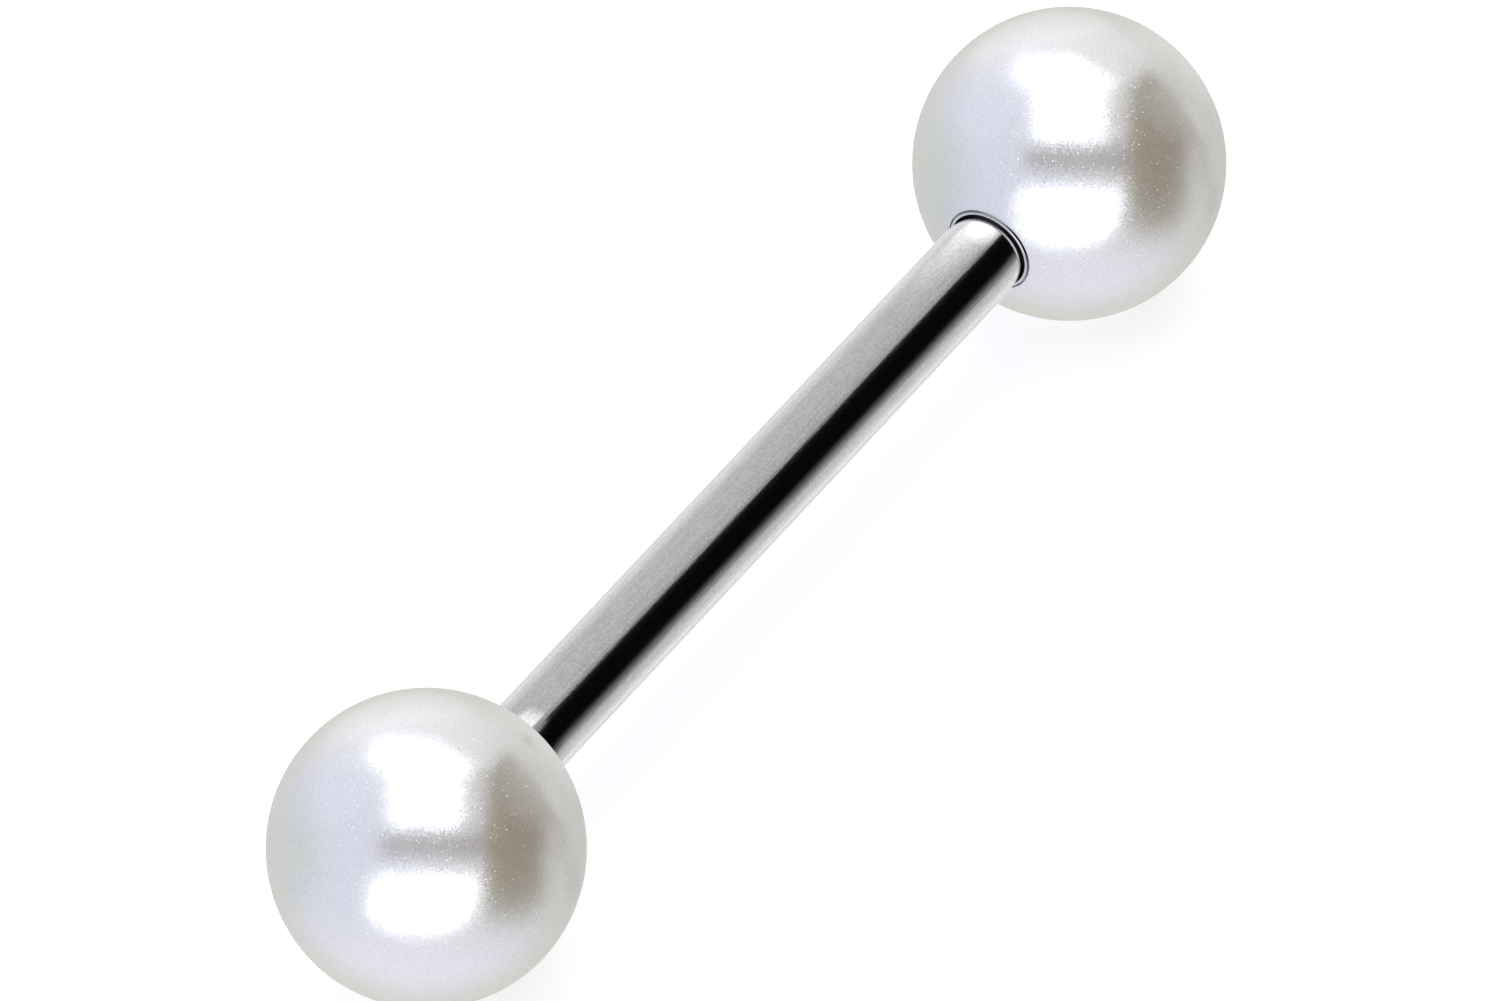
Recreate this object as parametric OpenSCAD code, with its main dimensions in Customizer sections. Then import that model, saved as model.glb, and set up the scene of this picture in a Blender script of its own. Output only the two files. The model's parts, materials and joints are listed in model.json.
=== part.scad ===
// Straight barbell for a piercing: a turned bar with a threaded stud at each end,
// and two pearls that screw onto the studs by a metal socket glued into each.
// The bar lies along X, and the pearls stand on the plane z = 0.

/* [Bar] */
// Diameter of the bar's straight shank
bar_d = 1.6; // [1.5:0.05:1.65]
// Distance between the rims of the two sockets, which is the length that can be worn
wear_l = 16; // [8:1:22]
// Length of the rounded nose at each end of the shank
nose_l = 1.25; // [0.9:0.05:1.4]
// How far each nose sits inside its socket
seat_depth = 0.5; // [0.45:0.05:0.6]

/* [Thread] */
// Diameter over the thread's crests
stud_d = 1.2; // [1.1:0.05:1.2]
// Length of each stud, from the nose to the tip
stud_l = 2.5; // [1.8:0.1:2.6]
// Distance from one crest to the next
thread_pitch = 0.25; // [0.2:0.01:0.3]
// Depth of the thread, from crest to root
thread_depth = 0.13; // [0.08:0.01:0.14]

/* [Pearls] */
// Diameter of each pearl
pearl_d = 5.75; // [5:0.25:8]

/* [Sockets] */
// Outside diameter of each socket, as its rim shows round the bar
socket_d = 1.72; // [1.72:0.02:1.8]
// Width of the lip between the rim's outer edge and the countersink
lip_w = 0.06; // [0.04:0.01:0.06]
// How far the rim stands proud of the pearl
rim_proud = 0.03; // [0.02:0.01:0.1]
// Thickness of the closed bottom
bottom_t = 0.3; // [0.2:0.1:0.4]

/* [Fits] */
// Gap all round between the thread's crests and the socket's bore
thread_gap = 0.03; // [0.02:0.01:0.04]
// Gap all round between each socket and its pearl, which the glue fills
glue_gap = 0.02; // [0.01:0.01:0.03]

/* [Hidden] */
$fn = 96;

bar_r = bar_d / 2;
pearl_r = pearl_d / 2;
socket_r = socket_d / 2;
hole_r = socket_r + glue_gap;

// The shank is straight between the noses, and each nose ends at the thread's root.
shank_l = wear_l - 2 * (nose_l - seat_depth);
nose_steps = 10;

// Each stud has a plain neck before its first crest and a bevelled tip.
stud_r = stud_d / 2;
root_r = stud_r - thread_depth;
neck_l = 0.2;
tip_bevel = 0.15;
crest_w = 0.05;
thread_turns = floor((stud_l - neck_l - tip_bevel) / thread_pitch);

// Each bore is plain, clears the stud's crests and is a little deeper than the stud.
bore_r = stud_r + thread_gap;
bore_end_gap = 0.2;
bore_l = seat_depth + stud_l + bore_end_gap;
socket_l = bore_l + bottom_t;
lip_bevel = 0.02;

// The rim's plane lies just outside the circle where the hole meets the pearl.
rim_x = sqrt(pearl_r * pearl_r - hole_r * hole_r) + rim_proud;
pearl_x = wear_l / 2 + rim_x;
hole_end = socket_l + glue_gap - rim_x;
drill_tip = 0.35;
overcut = 1;

// How far the left pearl is turned on its socket, which moves no surface.
// It sets how this round solid is split up for simulation, where the barbell has to lie still.
left_turn = -77;

// One quarter of an ellipse, from the shank down to the thread's root.
function nose_points(z) = [
    for (i = [1:nose_steps])
        let (a = 90 * i / nose_steps)
        [root_r + (bar_r - root_r) * cos(a), z + nose_l * sin(a)]
];

// The thread's ridges: a valley and a flat crest for each turn, from z upwards.
function ridge_points(z) = [
    for (i = [0:thread_turns - 1], p = [
        [root_r, 0],
        [stud_r, (thread_pitch - crest_w) / 2],
        [stud_r, (thread_pitch + crest_w) / 2]
    ])
        [p[0], z + i * thread_pitch + p[1]]
];

// Outline of one end of the bar, from the end of the shank to the middle of the stud's tip.
function bar_end_points() =
    let (nose_z = shank_l / 2, neck_z = nose_z + nose_l, tip_z = neck_z + stud_l)
    concat(
        [[bar_r, nose_z]],
        nose_points(nose_z),
        ridge_points(neck_z + neck_l),
        [
            [root_r, neck_z + neck_l + thread_turns * thread_pitch],
            [root_r - tip_bevel / 2, tip_z],
            [0, tip_z]
        ]
    );

// The same outline followed by its mirror image, as one closed shape.
function both_ends(points) = concat(
    points,
    [for (i = [len(points) - 1:-1:0]) [points[i][0], -points[i][1]]]
);

module bar() {
    color("silver")
        translate([0, 0, pearl_r])
            rotate([0, 90, 0])
                rotate_extrude()
                    polygon(both_ends(bar_end_points()));
}

// Socket with its rim at z = 0 and its closed bottom up.
module socket() {
    rotate_extrude()
        polygon([
            [bore_r, seat_depth],
            [socket_r - lip_w, lip_bevel],
            [socket_r - lip_w + lip_bevel, 0],
            [socket_r - lip_bevel, 0],
            [socket_r, lip_bevel],
            [socket_r, socket_l],
            [0, socket_l],
            [0, bore_l],
            [bore_r, bore_l]
        ]);
}

// Pearl with its centre at the origin and its blind hole open at the bottom.
module pearl() {
    difference() {
        sphere(r = pearl_r);
        translate([0, 0, -pearl_r - overcut])
            cylinder(r = hole_r, h = pearl_r + overcut + hole_end);
        translate([0, 0, hole_end])
            cylinder(r1 = hole_r, r2 = 0, h = drill_tip);
    }
}

// Puts a piece at x along the bar's axis, with its bottom turned to the middle of the bar.
module on_right(x) {
    translate([x, 0, pearl_r])
        rotate([0, 90, 0])
            children();
}

// The same, turned half round to the other end.
module on_left(x) {
    rotate([0, 0, 180])
        on_right(x)
            children();
}

module left_pearl() {
    color("ivory") on_left(pearl_x) rotate(left_turn) pearl();
}

module left_socket() {
    color("lightgray") on_left(wear_l / 2) socket();
}

module right_pearl() {
    color("ivory") on_right(pearl_x) pearl();
}

module right_socket() {
    color("lightgray") on_right(wear_l / 2) socket();
}

bar();
left_pearl();
left_socket();
right_pearl();
right_socket();
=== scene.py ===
import json
from math import asin, atan2, cos, pi, radians, sin, sqrt

import bpy
from mathutils import Matrix, Vector


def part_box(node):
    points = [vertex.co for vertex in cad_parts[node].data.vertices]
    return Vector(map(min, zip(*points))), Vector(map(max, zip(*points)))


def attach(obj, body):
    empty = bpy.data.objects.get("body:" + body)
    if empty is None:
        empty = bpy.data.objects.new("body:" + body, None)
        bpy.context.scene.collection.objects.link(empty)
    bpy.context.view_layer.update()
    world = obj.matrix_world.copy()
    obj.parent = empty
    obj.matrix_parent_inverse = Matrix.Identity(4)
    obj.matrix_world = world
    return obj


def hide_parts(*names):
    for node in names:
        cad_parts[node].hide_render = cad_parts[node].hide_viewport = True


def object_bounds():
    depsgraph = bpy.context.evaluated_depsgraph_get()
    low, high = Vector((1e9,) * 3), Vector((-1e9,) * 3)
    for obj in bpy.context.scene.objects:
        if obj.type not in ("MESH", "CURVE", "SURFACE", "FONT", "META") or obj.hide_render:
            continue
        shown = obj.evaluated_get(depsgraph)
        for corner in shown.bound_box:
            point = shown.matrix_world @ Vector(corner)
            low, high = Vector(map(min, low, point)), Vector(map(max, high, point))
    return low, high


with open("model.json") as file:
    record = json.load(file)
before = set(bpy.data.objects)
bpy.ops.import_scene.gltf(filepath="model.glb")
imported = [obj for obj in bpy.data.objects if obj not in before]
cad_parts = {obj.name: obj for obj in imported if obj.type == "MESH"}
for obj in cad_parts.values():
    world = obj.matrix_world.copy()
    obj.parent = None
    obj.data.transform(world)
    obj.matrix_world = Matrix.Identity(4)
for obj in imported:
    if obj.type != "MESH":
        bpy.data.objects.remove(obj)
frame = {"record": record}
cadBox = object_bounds()

mm = 0.001  # the scene is in metres, and the sizes of the barbell are given in millimetres
scene = bpy.context.scene


# Sizes that the frame gives. The right ball is the pattern, and the left one is the same, turned half round.

shankMount = frame["record"]["mounts"][0]
barRadius = shankMount["dims"]["r_mm"] * mm
shankHalf = shankMount["dims"]["length_mm"] * mm / 2
axisHeight = shankMount["pos_m"][2]
pearlRadius = axisHeight  # the pearls stand on the floor
pearlX = cadBox[1].x - pearlRadius  # distance of each pearl's centre from the middle of the bar
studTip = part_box("bar")[1].x
socketLow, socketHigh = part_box("right_socket")
rimX = socketLow.x  # the plane of the socket's rim
socketEnd = socketHigh.x
socketRadius = (socketHigh.y - socketLow.y) / 2
print("frame: bar", barRadius, "pearl", pearlRadius, "rim at", rimX)


# Arithmetic on node sockets, for materials, the world and Geometry Nodes alike

class Wire:
    def __init__(self, tree, socket=None):
        self.tree = tree
        self.socket = socket

    # any node: its type, its settings, the values or links of its sockets, and the output or outputs wanted
    def make(self, kind, settings=None, sockets=None, out=0):
        node = self.tree.nodes.new(kind)
        for name, value in (settings or {}).items():
            setattr(node, name, value)
        for name, value in (sockets or {}).items():
            if isinstance(value, Wire):
                self.tree.links.new(value.socket, node.inputs[name])
            else:
                node.inputs[name].default_value = value
        if not node.outputs:
            return None
        if isinstance(out, tuple):
            return [Wire(self.tree, node.outputs[name]) for name in out]
        return Wire(self.tree, node.outputs[out])

    def calc(self, operation, *values):
        return self.make("ShaderNodeMath", {"operation": operation}, dict(enumerate((self, *values))))

    def reflected(self, operation, value):
        return self.make("ShaderNodeMath", {"operation": operation}, {0: value, 1: self})

    def __add__(self, other):
        return self.calc("ADD", other)

    def __radd__(self, other):
        return self.reflected("ADD", other)

    def __sub__(self, other):
        return self.calc("SUBTRACT", other)

    def __rsub__(self, other):
        return self.reflected("SUBTRACT", other)

    def __mul__(self, other):
        return self.calc("MULTIPLY", other)

    def __rmul__(self, other):
        return self.reflected("MULTIPLY", other)

    def __truediv__(self, other):
        return self.calc("DIVIDE", other)

    def __rtruediv__(self, other):
        return self.reflected("DIVIDE", other)

    def __pow__(self, other):
        return self.calc("POWER", other)

    # from 0 to 1, smoothly, as the value goes from low to high
    def rise(self, low, high):
        return self.make("ShaderNodeMapRange", {"interpolation_type": "SMOOTHSTEP"},
                         {"Value": self, "From Min": low, "From Max": high})

    # the same for an edge of a given softness on either side
    def past(self, edge, soft):
        return self.rise(edge - soft, edge + soft)

    def vector(self, operation, other, out=0):
        return self.make("ShaderNodeVectorMath", {"operation": operation}, {0: self, 1: other}, out)

    def scaled(self, factor):
        return self.make("ShaderNodeVectorMath", {"operation": "SCALE"}, {0: self, "Scale": factor})

    def parts(self):
        return self.make("ShaderNodeSeparateXYZ", None, {0: self}, (0, 1, 2))

    # self is the factor: 0 gives first, 1 gives second
    def colours(self, first, second):
        return self.make("ShaderNodeMix", {"data_type": "RGBA"}, {0: self, 6: first, 7: second}, 2)


def rgb(red, green, blue):
    return (red, green, blue, 1)


def grey(level):
    return rgb(level, level, level)


# Camera: the photograph's view, from the front left and above

photo = {
    "width": 1500,
    "height": 1001,
    "farPearl": (1072.8, 160.1),  # pixel of the right pearl's centre
    "nearPearl": (429.8, 844.4),  # pixel of the left pearl's centre
    "pixelsPerMm": 55.27,  # from the bar's width
    "azimuth": -57.3,  # degrees
    "elevation": 43.1,  # degrees
    "lens": 800,  # mm, long, because the two pearls are equally large in the photograph
    "sensor": 36,  # mm
    "nearest": 10 * mm,
    "farthest": 3000 * mm,
}


def viewAxes(azimuth, elevation):
    a, e = radians(azimuth), radians(elevation)
    back = Vector((sin(a) * cos(e), -cos(a) * cos(e), sin(e)))
    right = Vector((0, 0, 1)).cross(back).normalized()
    return right, back.cross(right), back


viewRight, viewUp, viewBack = viewAxes(photo["azimuth"], photo["elevation"])
barX, barY = viewRight.x, viewUp.x  # the bar's axis as the camera sees it
barSeen = sqrt(barX ** 2 + barY ** 2)  # share of its length that shows
barDeep = sqrt(1 - barSeen ** 2)  # share that goes away from the camera


def makeCamera():
    data = bpy.data.cameras.new("photoCamera")
    data.lens = photo["lens"]
    data.sensor_width = photo["sensor"]
    data.clip_start = photo["nearest"]
    data.clip_end = photo["farthest"]
    distance = photo["width"] * photo["lens"] / photo["sensor"] / photo["pixelsPerMm"] * mm
    middleX = (photo["farPearl"][0] + photo["nearPearl"][0]) / 2 - photo["width"] / 2
    middleY = (photo["farPearl"][1] + photo["nearPearl"][1]) / 2 - photo["height"] / 2
    pixel = mm / photo["pixelsPerMm"]
    camera = bpy.data.objects.new("photoCamera", data)
    scene.collection.objects.link(camera)
    camera.location = (Vector((0, 0, axisHeight)) + viewBack * distance
                       - viewRight * middleX * pixel + viewUp * middleY * pixel)
    camera.rotation_mode = "QUATERNION"
    camera.rotation_quaternion = Matrix((viewRight, viewUp, viewBack)).transposed().to_quaternion()
    scene.camera = camera


makeCamera()
print("camera done")


# Studio: the lights are laid out as the pearls mirror them. (0, 0) is straight at the camera, x goes right
# and y goes up, in pearl radii as seen in the photograph, and every direction has one place on that disc.
# A pair of numbers is the stretch over which one thing runs into the next.

studio = {
    "softBox": 2.0,  # brightness of the two soft boxes
    "upper": {"left": -0.225, "right": 0.225, "low": 0.13, "high": 0.68, "soft": 0.045},
    "upperWider": {"by": 0.11, "from": (0.44, 0.54)},  # how much its top is wider on either side
    "upperCut": {"right": 0.506, "up": 0.862, "at": 0.60, "soft": 0.04},  # slants off its top right corner
    "lower": {"left": -0.60, "right": 0.60, "low": -0.70, "high": -0.155, "soft": 0.04},
    "lowerBowl": {"x": -0.03, "y": -0.19, "halfWidth": 0.36, "halfHeight": 0.338, "power": 2.6,
                  "fade": (0.7, 1.3)},  # rounds off the lower box
    "lowerLean": {"left": -0.30, "lean": 0.4, "soft": 0.045},  # its left edge leans out on the way down
    "gap": {"left": -0.28, "right": 0.45, "low": -0.045, "high": 0.10, "soft": 0.045},
    "gapColour": rgb(0.12, 0.15, 0.22),

    "left": rgb(0.66, 0.71, 0.89),
    "right": rgb(0.55, 0.57, 0.55),
    "leftToRight": (-0.35, 0.6),
    "farLeft": rgb(0.49, 0.59, 0.60),
    "farLeftOval": {"x": -0.98, "y": -0.05, "halfWidth": 0.42, "halfHeight": 0.60, "power": 2,
                    "fade": (0.0, 1.0)},
    "below": rgb(0.83, 0.85, 0.99),
    "belowToMiddle": (-0.78, -0.28),
    "above": rgb(0.97, 0.97, 1.00),
    "aboveRight": grey(0.94),
    "aboveLeftToRight": (-0.15, 0.30),
    "middleToAbove": (0.40, 0.80),
    "aboveWeaker": {"by": 0.7, "from": (0.35, 0.65)},  # towards the right
    "rim": rgb(0.60, 0.62, 0.60),  # what the pearls' outlines mirror
    "rimTopRight": rgb(0.80, 0.80, 0.78),
    "rimToRight": (0.3, 0.6),
    "rimToTop": (0.2, 0.6),
    "middleToRim": (0.60, 1.0),  # by the square of the distance from (0, 0)

    "card": grey(0.003),  # the black cards: a patch for the pearls and a band for the bar
    "patch": {"x": 0.505, "y": -0.01, "halfWidth": 0.25, "halfHeight": 0.43, "power": 2.6,
              "fade": (0.0, 1.65)},
    "patchEdge": {"left": 0.375, "soft": 0.03},
    "band": {"left": (-0.055, -0.01), "right": (0.43, 0.68), "near": (-0.05, -0.02), "far": (0.13, 0.19)},
    "bandLonger": {"by": 0.11, "from": (0.04, 0.12)},  # its right side reaches further at the near nose
    "noseGrey": grey(0.45),  # what the far nose mirrors beside the band
    "noseStrip": {"left": (0.50, 0.60), "right": (0.80, 0.95), "near": (0.03, 0.06), "far": (0.12, 0.18)},
}


def insideBox(x, y, box):
    soft = box["soft"]
    return (x.past(box["left"], soft) * (1 - x.past(box["right"], soft))
            * y.past(box["low"], soft) * (1 - y.past(box["high"], soft)))


# a power of 2 gives a true oval, and a higher one a squarer shape
def insideOval(x, y, oval):
    reach = (((x - oval["x"]) / oval["halfWidth"]).calc("ABSOLUTE") ** oval["power"]
             + ((y - oval["y"]) / oval["halfHeight"]).calc("ABSOLUTE") ** oval["power"])
    return 1 - reach.rise(*oval["fade"])


# a strip for the bar, in the terms that makeStudio explains
def insideStrip(across, nearSide, farSide, strip):
    return (across.rise(*strip["left"]) * (1 - across.rise(*strip["right"]))
            * nearSide.rise(*strip["near"]) * (1 - farSide.rise(*strip["far"])))


# the even light all round
def wallLight(x, y):
    light = x.rise(*studio["leftToRight"]).colours(studio["left"], studio["right"])
    light = insideOval(x, y, studio["farLeftOval"]).colours(light, studio["farLeft"])
    light = (1 - y.rise(*studio["belowToMiddle"])).colours(light, studio["below"])
    top = x.rise(*studio["aboveLeftToRight"]).colours(studio["above"], studio["aboveRight"])
    weaker = studio["aboveWeaker"]
    topShare = y.rise(*studio["middleToAbove"]) * (1 - weaker["by"] * x.rise(*weaker["from"]))
    light = topShare.colours(light, top)
    topRight = x.rise(*studio["rimToRight"]) * y.rise(*studio["rimToTop"])
    rim = topRight.colours(studio["rim"], studio["rimTopRight"])
    light = (x * x + y * y).rise(*studio["middleToRim"]).colours(light, rim)
    return insideBox(x, y, studio["gap"]).colours(light, studio["gapColour"])


def insideSoftBoxes(x, y):
    box, wider, cut = studio["upper"], studio["upperWider"], studio["upperCut"]
    middle = 0.5 * (box["left"] + box["right"])
    half = box["right"] - middle
    spread = 1 + wider["by"] / half * y.rise(*wider["from"])
    upper = insideBox((x - middle) / spread + middle, y, box)
    upper = upper * (1 - (cut["right"] * x + cut["up"] * y).past(cut["at"], cut["soft"]))

    box, lean = studio["lower"], studio["lowerLean"]
    lower = insideBox(x, y, box) * insideOval(x, y, studio["lowerBowl"])
    lower = lower * (x + lean["lean"] * (box["high"] - y)).past(lean["left"], lean["soft"])
    return (upper + lower).calc("MINIMUM", 1)


def makeStudio():
    world = bpy.data.worlds.new("studio")
    world.use_nodes = True
    world.node_tree.nodes.clear()
    new = Wire(world.node_tree).make
    direction = new("ShaderNodeTexCoord", out="Generated")
    toRight = direction.vector("DOT_PRODUCT", viewRight, "Value")
    toTop = direction.vector("DOT_PRODUCT", viewUp, "Value")
    toCamera = direction.vector("DOT_PRODUCT", viewBack, "Value")
    notZero = 0.0001  # for the direction straight away from the camera
    size = (2 + 2 * toCamera).calc("MAXIMUM", notZero) ** 0.5
    x, y = toRight / size, toTop / size

    # The bar mirrors one curve over the disc: across goes from edge to edge of the bar, and beyond is 0 on
    # the curve. It grows on the far nose, whose surface turns towards its socket, and falls on the near one.
    across = (x * barY - y * barX) / barSeen
    curve = (1 - across * across).calc("MAXIMUM", 0) ** 0.5 * barDeep
    beyond = (x * barX + y * barY) / barSeen - curve

    light = insideSoftBoxes(x, y).colours(wallLight(x, y), grey(studio["softBox"]))
    light = insideStrip(across, beyond, beyond, studio["noseStrip"]).colours(light, studio["noseGrey"])
    edge, longer = studio["patchEdge"], studio["bandLonger"]
    patch = x.past(edge["left"], edge["soft"]) * insideOval(x, y, studio["patch"])
    light = patch.colours(light, studio["card"])
    nearSide = beyond + longer["by"] * across.rise(*longer["from"])
    light = insideStrip(across, nearSide, beyond, studio["band"]).colours(light, studio["card"])

    shown = new("ShaderNodeLightPath", out="Is Camera Ray").colours(light, grey(1))
    background = new("ShaderNodeBackground", None, {"Color": shown, "Strength": 1.0})
    new("ShaderNodeOutputWorld", None, {"Surface": background})
    scene.world = world
    scene.view_settings.view_transform = "Standard"


makeStudio()
print("studio done")


# Materials

def startMaterial(name):
    material = bpy.data.materials.new(name)
    material.use_nodes = True
    material.node_tree.nodes.clear()
    return material, Wire(material.node_tree).make


# where the surface point is, in millimetres, from the piece's own object coordinates
def placeInMm(new):
    return new("ShaderNodeTexCoord", out="Object").scaled(1 / mm)


def shaded(colour, share):
    return rgb(*(part * share for part in colour[:3]))


pearlLook = {
    "core": rgb(0.77, 0.665, 0.51),
    "coreRoughness": 0.6,
    "coreSpecular": 0.2,
    "speckle": 0.07,  # how much lighter and darker the core gets from speck to speck
    "specksPerMm": 25,
    "specksDarkToLight": (0.3, 0.7),
    "nacre": rgb(0.84, 0.90, 1.0),
    "nacreShare": 0.60,
    "nacreRoughness": 0.21,
    "nacreFades": (0.012, 0.03),  # mm under the surface
    "flakeSize": 0.0155,  # mm
    "flakeTilt": 0.08,
    "sparkTilt": 0.78,  # more tilt for the few flakes that lie askew
    "sparkShare": 0.026,
    "ripplesPerMm": 1.3,
    "rippleHeight": 0.1 * mm,
    "rippleStrength": 0.05,
    "hole": grey(0.10),  # the hole's wall, where there is no nacre, painted dark as the shade in the gap round the socket
}


def makePearlLacquer():
    look = pearlLook
    material, new = startMaterial("pearlLacquer")
    place = placeInMm(new)
    x, y, z = place.parts()
    fromCentre = ((x.calc("ABSOLUTE") - pearlX / mm) ** 2 + y * y + (z - axisHeight / mm) ** 2) ** 0.5
    shallow, deep = look["nacreFades"]
    # 1 outside the hole, where the nacre lies, and 0 on the hole's wall, which is painted dark as shade
    outside = fromCentre.rise(pearlRadius / mm - deep, pearlRadius / mm - shallow)

    # most flakes of the nacre lie flat, and a few lie askew and glint
    flake, flakePlace = new("ShaderNodeTexVoronoi", None, {
        "Vector": place, "Scale": 1 / look["flakeSize"]}, ("Color", "Position"))
    chance = new("ShaderNodeTexWhiteNoise", {"noise_dimensions": "3D"}, {"Vector": flakePlace}, "Value")
    askew = chance.calc("LESS_THAN", look["sparkShare"])
    lean = flake.vector("SUBTRACT", (0.5, 0.5, 0.5))  # from a colour to a direction
    tilt = lean.scaled(look["flakeTilt"] + askew * look["sparkTilt"])
    normal = new("ShaderNodeNewGeometry", out="Normal").vector("ADD", tilt)
    normal = new("ShaderNodeVectorMath", {"operation": "NORMALIZE"}, {0: normal})
    ripple = new("ShaderNodeTexNoise", None, {
        "Vector": place, "Scale": look["ripplesPerMm"], "Detail": 2.0, "Roughness": 0.5}, "Fac")
    lumps = new("ShaderNodeBump", None, {
        "Strength": look["rippleStrength"], "Distance": look["rippleHeight"],
        "Height": ripple, "Normal": normal})

    speck = new("ShaderNodeTexNoise", None, {
        "Vector": place, "Scale": look["specksPerMm"], "Detail": 1.0}, "Fac")
    speckled = speck.rise(*look["specksDarkToLight"]).colours(
        shaded(look["core"], 1 - look["speckle"]), shaded(look["core"], 1 + look["speckle"]))
    # the core's colour: speckled outside, painted shade on the hole's wall
    core = new("ShaderNodeBsdfPrincipled", None, {
        "Base Color": outside.colours(look["hole"], speckled), "Roughness": look["coreRoughness"],
        "Specular IOR Level": look["coreSpecular"], "Normal": lumps})
    nacre = new("ShaderNodeBsdfPrincipled", None, {
        "Base Color": look["nacre"], "Metallic": 1.0, "Roughness": look["nacreRoughness"], "Normal": lumps})
    mixed = new("ShaderNodeMixShader", None, {0: outside * look["nacreShare"], 1: core, 2: nacre})
    new("ShaderNodeOutputMaterial", None, {"Surface": mixed})
    return material


steelLook = {
    "dull": grey(0.415),
    "bright": grey(0.535),
    "dullToBright": (0.35, 0.65),
    "streakShare": 0.4,  # of the colour's pattern, and the rest is grain
    "roughness": 0.12,
    "grainsPerMm": 20,
    "streakLength": 0.9,  # mm
    "streakWidth": 0.035,  # mm
    "grainHeight": 0.0010,  # mm
    "streakHeight": 0.0009,  # mm
}


def makeBarSteel():
    look = steelLook
    material, new = startMaterial("barSteel")
    place = placeInMm(new)
    grain = new("ShaderNodeTexNoise", None, {
        "Vector": place, "Scale": look["grainsPerMm"], "Detail": 3.0}, "Fac")
    streaksAcross = 1 / look["streakWidth"]
    stretched = new("ShaderNodeMapping", None, {
        "Vector": place, "Scale": (1 / look["streakLength"], streaksAcross, streaksAcross)})
    streak = new("ShaderNodeTexNoise", None, {"Vector": stretched, "Scale": 1.0, "Detail": 2.0}, "Fac")
    height = grain * look["grainHeight"] + streak * look["streakHeight"]
    bump = new("ShaderNodeBump", None, {"Strength": 1.0, "Distance": mm, "Height": height})
    pattern = (1 - look["streakShare"]) * grain + look["streakShare"] * streak
    steel = new("ShaderNodeBsdfPrincipled", None, {
        "Base Color": pattern.rise(*look["dullToBright"]).colours(look["dull"], look["bright"]),
        "Metallic": 1.0, "Roughness": look["roughness"], "Normal": bump})
    new("ShaderNodeOutputMaterial", None, {"Surface": steel})
    return material


socketLook = {
    # the lip's flat is painted bright as a highlight, and the rest of the socket dark as shade in the
    # countersink and the gap
    "lip": rgb(0.70, 0.69, 0.67),
    "rest": grey(0.16),
    "lipDepth": 0.005,  # mm, how far down the rim's rounded edges the painted highlight of the lip goes
    "lipSoft": 0.002,  # mm
    "roughness": 0.18,
    "ringWidth": 0.03,  # mm, of the turning marks
    "ringHeight": 0.005 * mm,
    "ringStrength": 0.03,
}


def makeSocketSteel():
    look = socketLook
    material, new = startMaterial("socketSteel")
    x, y, z = placeInMm(new).parts()
    offAxis = (y * y + (z - axisHeight / mm) ** 2) ** 0.5
    rings = ((offAxis + x) * (2 * pi / look["ringWidth"])).calc("SINE")
    bump = new("ShaderNodeBump", None, {
        "Strength": look["ringStrength"], "Distance": look["ringHeight"], "Height": rings})
    # the rim's flat gets the painted highlight, and everything deeper gets the painted shade
    deep = (x.calc("ABSOLUTE") - rimX / mm).past(look["lipDepth"], look["lipSoft"])
    steel = new("ShaderNodeBsdfPrincipled", None, {
        "Base Color": deep.colours(look["lip"], look["rest"]), "Metallic": 1.0,
        "Roughness": look["roughness"], "Normal": bump})
    new("ShaderNodeOutputMaterial", None, {"Surface": steel})
    return material


pearlLacquer = makePearlLacquer()
barSteel = makeBarSteel()
socketSteel = makeSocketSteel()
print("materials done")


# Turned pieces: Geometry Nodes turn an outline round the bar's axis, and add a helical thread if it is wanted

mergeDistance = 1e-8  # joins the seam and the poles
sharpAngle = radians(40)  # an edge that folds more than this stays sharp


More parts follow.
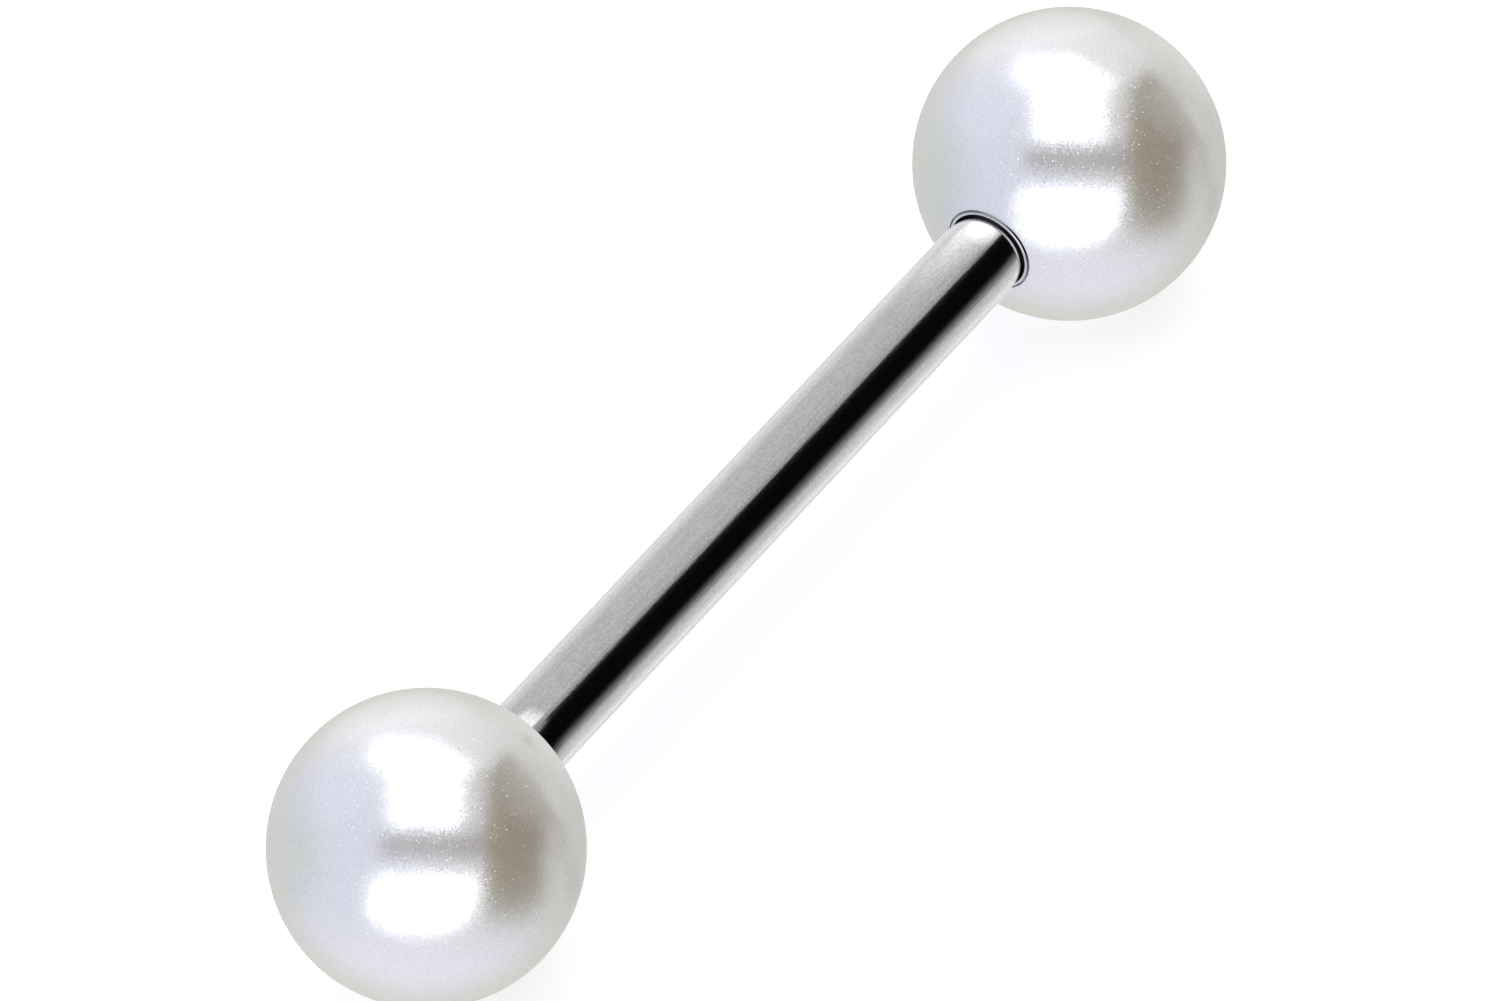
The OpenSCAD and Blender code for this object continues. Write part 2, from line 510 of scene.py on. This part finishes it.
def makeTurningTree():
    tree = bpy.data.node_groups.new("turnedPiece", "GeometryNodeTree")
    inputs = {
        "Outline": "Geometry", "Segments": "Int", "Axis Height": "Float", "Direction": "Float",
        "Thread From": "Float", "Thread To": "Float", "Pitch": "Float", "Thread Depth": "Float",
        "Crest Share": "Float", "Phase": "Float", "Run Out": "Float", "Sharp Angle": "Float",
        "Material": "Material",
    }
    for name, kind in inputs.items():
        tree.interface.new_socket(name=name, in_out="INPUT", socket_type="NodeSocket" + kind)
    tree.interface.new_socket(name="Piece", in_out="OUTPUT", socket_type="NodeSocketGeometry")
    entry = tree.nodes.new("NodeGroupInput")
    given = {socket.name: Wire(tree, socket) for socket in entry.outputs if socket.name}
    new = Wire(tree).make

    # a sheet with a row for each point of the outline, whose other side goes round the axis
    rows = new("GeometryNodeAttributeDomainSize", None, {"Geometry": given["Outline"]}, "Point Count")
    sheet = new("GeometryNodeMeshGrid", None, {
        "Size X": 1.0, "Size Y": 1.0, "Vertices X": rows, "Vertices Y": given["Segments"] + 1}, "Mesh")
    acrossRows, aroundAxis = new("GeometryNodeInputPosition").parts()[:2]
    row = ((acrossRows + 0.5) * (rows - 1)).calc("ROUND")
    angle = (aroundAxis + 0.5) * (2 * pi)
    outline = new("GeometryNodeSampleIndex", {"data_type": "FLOAT_VECTOR", "domain": "POINT"}, {
        "Geometry": given["Outline"], "Value": new("GeometryNodeInputPosition"), "Index": row}, "Value")
    along, radius = outline.parts()[::2]

    # the thread: one ridge for each turn, which rises and runs out smoothly at the thread's ends
    turn = (along / given["Pitch"] + angle / (2 * pi) + given["Phase"]).calc("FRACT")
    ridge = (1 - (2 * turn - 1).calc("ABSOLUTE")) / (1 - given["Crest Share"])
    ridge = ridge.calc("MINIMUM", 1)
    reach = along.calc("ABSOLUTE")
    runIn = reach.rise(given["Thread From"], given["Thread From"] + given["Run Out"])
    runOut = reach.rise(given["Thread To"] - given["Run Out"], given["Thread To"])
    radius = radius + ridge * given["Thread Depth"] * runIn * (1 - runOut)

    side = given["Direction"]
    place = new("ShaderNodeCombineXYZ", None, {
        0: along * side,
        1: radius * angle.calc("SINE") * side,
        2: given["Axis Height"] + radius * angle.calc("COSINE")})
    piece = new("GeometryNodeSetPosition", None, {"Geometry": sheet, "Position": place})
    piece = new("GeometryNodeMergeByDistance", None, {"Geometry": piece, "Distance": mergeDistance})
    piece = new("GeometryNodeSetShadeSmooth", {"domain": "FACE"}, {"Geometry": piece, "Shade Smooth": True})
    fold = new("GeometryNodeInputMeshEdgeAngle", out="Unsigned Angle")
    sharp = new("FunctionNodeCompare", {"data_type": "FLOAT", "operation": "GREATER_THAN"},
                {0: fold, 1: given["Sharp Angle"]})
    piece = new("GeometryNodeSetShadeSmooth", {"domain": "EDGE"}, {
        "Geometry": piece, "Selection": sharp, "Shade Smooth": False})
    piece = new("GeometryNodeRealizeInstances", None, {"Geometry": piece})
    piece = new("GeometryNodeSetMaterial", None, {"Geometry": piece, "Material": given["Material"]})
    new("NodeGroupOutput", None, {"Piece": piece})
    return tree


turningTree = makeTurningTree()

threadShape = {
    "pitch": 0.25 * mm,
    "crestShare": 0.2,  # flat share of each turn
    "runOut": 0.12 * mm,
    "rowsPerTurn": 20,
}


# the tree's inputs for a thread, whose ridges stand inwards if the depth is below 0
def makeThread(start, end, depth, phase):
    return {"Thread From": start, "Thread To": end, "Pitch": threadShape["pitch"], "Thread Depth": depth,
            "Crest Share": threadShape["crestShare"], "Phase": phase, "Run Out": threadShape["runOut"]}


def threadRows(start, end):
    return round((end - start) / threadShape["pitch"] * threadShape["rowsPerTurn"])


noThread = makeThread(start=1.0, end=2.0, depth=0.0, phase=0.0)


# outline is a list of (place along the bar, distance from its axis), in metres, and goes from axis to axis
def turnPiece(name, outline, material, body, segments, direction=1, thread=noThread):
    mesh = bpy.data.meshes.new(name)
    mesh.from_pydata([(x, 0, r) for x, r in outline], [(i, i + 1) for i in range(len(outline) - 1)], [])
    piece = bpy.data.objects.new(name, mesh)
    scene.collection.objects.link(piece)
    modifier = piece.modifiers.new("turned", "NODES")
    modifier.node_group = turningTree
    values = {"Segments": segments, "Axis Height": axisHeight, "Direction": float(direction),
              "Sharp Angle": sharpAngle, "Material": material, **thread}
    for item in turningTree.interface.items_tree:
        if item.in_out == "INPUT" and item.name in values:
            modifier[item.identifier] = values[item.name]
    finished = piece.evaluated_get(bpy.context.evaluated_depsgraph_get())
    piece.data = bpy.data.meshes.new_from_object(finished)
    piece.modifiers.clear()
    piece.data.name = name
    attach(piece, body)
    print(name, len(piece.data.polygons), "faces")
    return piece


# points of an arc, from one angle in degrees to another
def arc(middle, radius, start, end, steps):
    angles = [radians(start + (end - start) * i / steps) for i in range(steps + 1)]
    return [(middle[0] + radius * cos(a), middle[1] + radius * sin(a)) for a in angles]


# points of a straight line, without its first one
def stretch(first, last, steps):
    return [(first[0] + (last[0] - first[0]) * i / steps, first[1] + (last[1] - first[1]) * i / steps)
            for i in range(1, steps + 1)]


# Bar

barShape = {
    "noseLength": 1.25 * mm,
    "studRadius": 0.6 * mm,  # over the thread's crests
    "rootRadius": 0.47 * mm,
    "neck": 0.2 * mm,  # plain length between the nose and the thread
    "tipBevel": 0.15 * mm,
    "shankRows": 60,
    "noseRows": 40,
    "tipRows": 4,
    "segments": 120,
}


def makeBar():
    shape = barShape
    root = shape["rootRadius"]
    noseEnd = shankHalf + shape["noseLength"]
    bevelStart = studTip - shape["tipBevel"]
    tipRadius = root - shape["tipBevel"] / 2
    end = [(shankHalf + shape["noseLength"] * sin(a), root + (barRadius - root) * cos(a))
           for a in (pi / 2 * i / shape["noseRows"] for i in range(shape["noseRows"] + 1))]
    end += stretch((noseEnd, root), (bevelStart, root), threadRows(noseEnd, bevelStart))
    end += stretch((bevelStart, root), (studTip, tipRadius), shape["tipRows"])
    end += stretch((studTip, tipRadius), (studTip, 0), shape["tipRows"])
    shank = stretch((-shankHalf, barRadius), (shankHalf, barRadius), shape["shankRows"])[:-1]
    outline = [(-x, r) for x, r in reversed(end)] + shank + end
    thread = makeThread(noseEnd + shape["neck"] / 2, studTip - shape["tipBevel"] / 3,
                        shape["studRadius"] - root, 0.0)
    bar = turnPiece("turnedBar", outline, barSteel, "bar", shape["segments"], thread=thread)
    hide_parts("bar")
    bar.visible_glossy = False  # the pearls don't mirror the bar in the photograph
    return bar


bar = makeBar()


# Sockets

socketShape = {
    "lipWidth": 0.06 * mm,
    "lipRound": 0.02 * mm,
    "lipTaper": 0.02 * mm,  # how much the outside narrows towards the rim
    "taperLength": 0.1 * mm,
    "countersink": 0.5 * mm,
    "boreRadius": 0.63 * mm,
    "bottom": 0.3 * mm,
    "ridgeRadius": 0.51 * mm,  # over the crests of the socket's own thread
    "threadStart": 0.05 * mm,  # from the countersink
    "threadEnd": 0.1 * mm,  # from the bore's end
    "threadPhase": 0.5,  # half a turn from the stud's, so that crests meet valleys
    "boreEndRows": 4,
    "sinkRows": 12,
    "lipInsideRows": 5,
    "lipOutsideRows": 6,
    "taperRows": 4,
    "outsideRows": 20,
    "backRows": 6,
    "segments": 120,
}


def makeSocket(side, direction):
    shape = socketShape
    bore, lipRound = shape["boreRadius"], shape["lipRound"]
    boreEnd = socketEnd - shape["bottom"]
    sinkEnd = rimX + shape["countersink"]
    lipX = rimX + lipRound
    taperX = rimX + shape["taperLength"]
    lipOutside = socketRadius - shape["lipTaper"]
    lipInside = lipOutside - shape["lipWidth"]
    outline = [(boreEnd, 0)] + stretch((boreEnd, 0), (boreEnd, bore), shape["boreEndRows"])
    outline += stretch((boreEnd, bore), (sinkEnd, bore), threadRows(sinkEnd, boreEnd))
    outline += stretch((sinkEnd, bore), (lipX, lipInside), shape["sinkRows"])
    outline += arc((lipX, lipInside + lipRound), lipRound, 270, 180, shape["lipInsideRows"])[1:]
    outline += arc((lipX, lipOutside - lipRound), lipRound, 180, 90, shape["lipOutsideRows"])
    outline += stretch((lipX, lipOutside), (taperX, socketRadius), shape["taperRows"])
    outline += stretch((taperX, socketRadius), (socketEnd, socketRadius), shape["outsideRows"])
    outline += stretch((socketEnd, socketRadius), (socketEnd, 0), shape["backRows"])
    thread = makeThread(sinkEnd + shape["threadStart"], boreEnd - shape["threadEnd"],
                        shape["ridgeRadius"] - bore, shape["threadPhase"])
    socket = turnPiece(side + "TurnedSocket", outline, socketSteel, side + "_ball",
                       shape["segments"], direction, thread)
    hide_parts(side + "_socket")


# Pearls

pearlShape = {
    "holeGap": 0.003 * mm,  # the film of glue between the socket and the pearl
    "mouthRound": 0.012 * mm,
    "drillTip": 0.35 * mm,
    "drillRows": 8,
    "holeRows": 16,
    "mouthRows": 8,
    "outsideRows": 150,
    "segments": 192,
}


def makePearl(side, direction):
    shape = pearlShape
    hole = socketRadius + shape["holeGap"]
    holeEnd = socketEnd + shape["holeGap"]
    drillEnd = holeEnd + shape["drillTip"]
    mouthRound = shape["mouthRound"]
    mouthY = hole + mouthRound
    mouthX = pearlX - sqrt((pearlRadius - mouthRound) ** 2 - mouthY ** 2)
    leaving = atan2(mouthY, mouthX - pearlX) * 180 / pi  # where the mouth's rounding meets the sphere
    outline = [(drillEnd, 0)] + stretch((drillEnd, 0), (holeEnd, hole), shape["drillRows"])
    outline += stretch((holeEnd, hole), (mouthX, hole), shape["holeRows"])
    outline += arc((mouthX, mouthY), mouthRound, 270, leaving, shape["mouthRows"])[1:]
    outline += arc((pearlX, 0), pearlRadius, leaving, 0, shape["outsideRows"])[1:-1]
    outline += [(pearlX + pearlRadius, 0)]
    pearl = turnPiece(side + "LacqueredPearl", outline, pearlLacquer, side + "_ball",
                      shape["segments"], direction)
    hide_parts(side + "_pearl")
    pearl.visible_glossy = False  # the bar doesn't mirror the pearls in the photograph
    return pearl


pearls = []
for side, direction in (("left", -1), ("right", 1)):
    makeSocket(side, direction)
    pearls.append(makePearl(side, direction))


# Lights that reach only the bar or only the pearls. Each row is a sun: where a mirror ball would show it, its
# size in degrees and its brightness. Suns in one place lie inside one another, which makes a soft edge.

behind = (0.9999, 0)
lowerRight = (0.807, -0.383)
upperLeft = (-0.412, 0.817)
barLights = (
    (behind, 124, 0.05), (behind, 112, 0.10), (behind, 100, 0.13), (behind, 80, 0.16),
    (lowerRight, 50, 0.12), (lowerRight, 46, 0.12), (lowerRight, 40, 0.16),
    (upperLeft, 56, 0.03), (upperLeft, 42, 0.08), (upperLeft, 30, 0.14),
)
pearlLights = (
    ((0.60, 0.33), 32, 0.16), ((0.62, 0.42), 22, 0.12), ((0.78, 0.20), 26, 0.24), ((0.755, 0.0), 22, 0.12),
    ((0.88, -0.12), 24, 0.06), ((-0.20, 0.87), 50, 0.13), ((-0.50, 0.40), 50, 0.06), ((0.33, 0.58), 20, 0.10),
)
noseLights = {  # the bright spot on the far nose
    "across": -0.43,  # in the same terms as in the studio
    "beyond": 0.10,
    "aim": 0.4 * mm,  # past the end of the shank
    "distance": 12 * mm,
    "ovals": (  # width, height and brightness, one inside another
        (17.0 * mm, 9.0 * mm, 0.35),
        (14.5 * mm, 7.2 * mm, 0.5),
        (9.5 * mm, 5.2 * mm, 0.8),
    ),
}


# the direction that a mirror ball of radius 1 shows at (x, y)
def mirrored(x, y):
    r = sqrt(x * x + y * y)
    turn = 2 * asin(min(r, 1))
    return (viewRight * x / r + viewUp * y / r) * sin(turn) + viewBack * cos(turn)


# the same for a place on the bar's nose
def mirroredByBar(across, beyond):
    out = sqrt(1 - across ** 2) * barDeep + beyond
    return mirrored((across * barY + out * barX) / barSeen, (-across * barX + out * barY) / barSeen)


def addLinkedLight(name, kind, place, turn, only, settings):
    data = bpy.data.lights.new(name, kind)
    for key, value in settings.items():
        setattr(data, key, value)
    light = bpy.data.objects.new(name, data)
    scene.collection.objects.link(light)
    light.location = place
    light.rotation_mode = "QUATERNION"
    light.rotation_quaternion = turn
    light.light_linking.receiver_collection = only
    light.light_linking.blocker_collection = only


def makeSuns(name, lights, only):
    above = (0, 0, 50 * mm)  # a sun shines in the same way from any place
    for i, (place, size, brightness) in enumerate(lights):
        turn = mirrored(*place).to_track_quat("Z", "Y")
        energy = brightness * pi * sin(radians(size) / 2) ** 2
        addLinkedLight(name + str(i), "SUN", above, turn, only, {"angle": radians(size), "energy": energy})


def makeNoseLights(only):
    across, beyond = noseLights["across"], noseLights["beyond"]
    direction = mirroredByBar(across, beyond)
    little = 0.01
    wideWay = mirroredByBar(across + little, beyond) - mirroredByBar(across - little, beyond)
    wideWay = (wideWay - direction * wideWay.dot(direction)).normalized()
    turn = Matrix((wideWay, direction.cross(wideWay), direction)).transposed().to_quaternion()
    place = Vector((shankHalf + noseLights["aim"], 0, axisHeight)) + direction * noseLights["distance"]
    for i, (width, height, brightness) in enumerate(noseLights["ovals"]):
        energy = brightness * pi * pi / 4 * width * height
        addLinkedLight("noseLight" + str(i), "AREA", place, turn, only,
                       {"shape": "ELLIPSE", "size": width, "size_y": height, "energy": energy})


def makeLinkedLights():
    barOnly = bpy.data.collections.new("barOnly")
    barOnly.objects.link(bar)
    pearlsOnly = bpy.data.collections.new("pearlsOnly")
    for pearl in pearls:
        pearlsOnly.objects.link(pearl)
    makeSuns("barLight", barLights, barOnly)
    makeSuns("pearlLight", pearlLights, pearlsOnly)
    makeNoseLights(barOnly)


makeLinkedLights()
print("linked lights done")


# Floor

floorLook = {
    "paper": grey(0.55),
    "roughness": 0.9,
    "specular": 0.1,
    "glow": 0.6,  # keeps the shadows pale
    "halfWidth": 1500 * mm,
}


def makeFloor():
    look = floorLook
    material, new = startMaterial("palePaper")
    paper = new("ShaderNodeBsdfPrincipled", None, {
        "Base Color": look["paper"], "Roughness": look["roughness"], "Specular IOR Level": look["specular"],
        "Emission Color": grey(1), "Emission Strength": look["glow"]})
    new("ShaderNodeOutputMaterial", None, {"Surface": paper})
    half = look["halfWidth"]
    corners = [(-half, -half, 0), (half, -half, 0), (half, half, 0), (-half, half, 0)]
    mesh = bpy.data.meshes.new("paleFloor")
    mesh.from_pydata(corners, [], [(0, 1, 2, 3)])
    mesh.materials.append(material)
    floor = bpy.data.objects.new("paleFloor", mesh)
    floor.visible_glossy = False  # the barbell mirrors the studio's own light from below
    scene.collection.objects.link(floor)


makeFloor()
print("floor done")
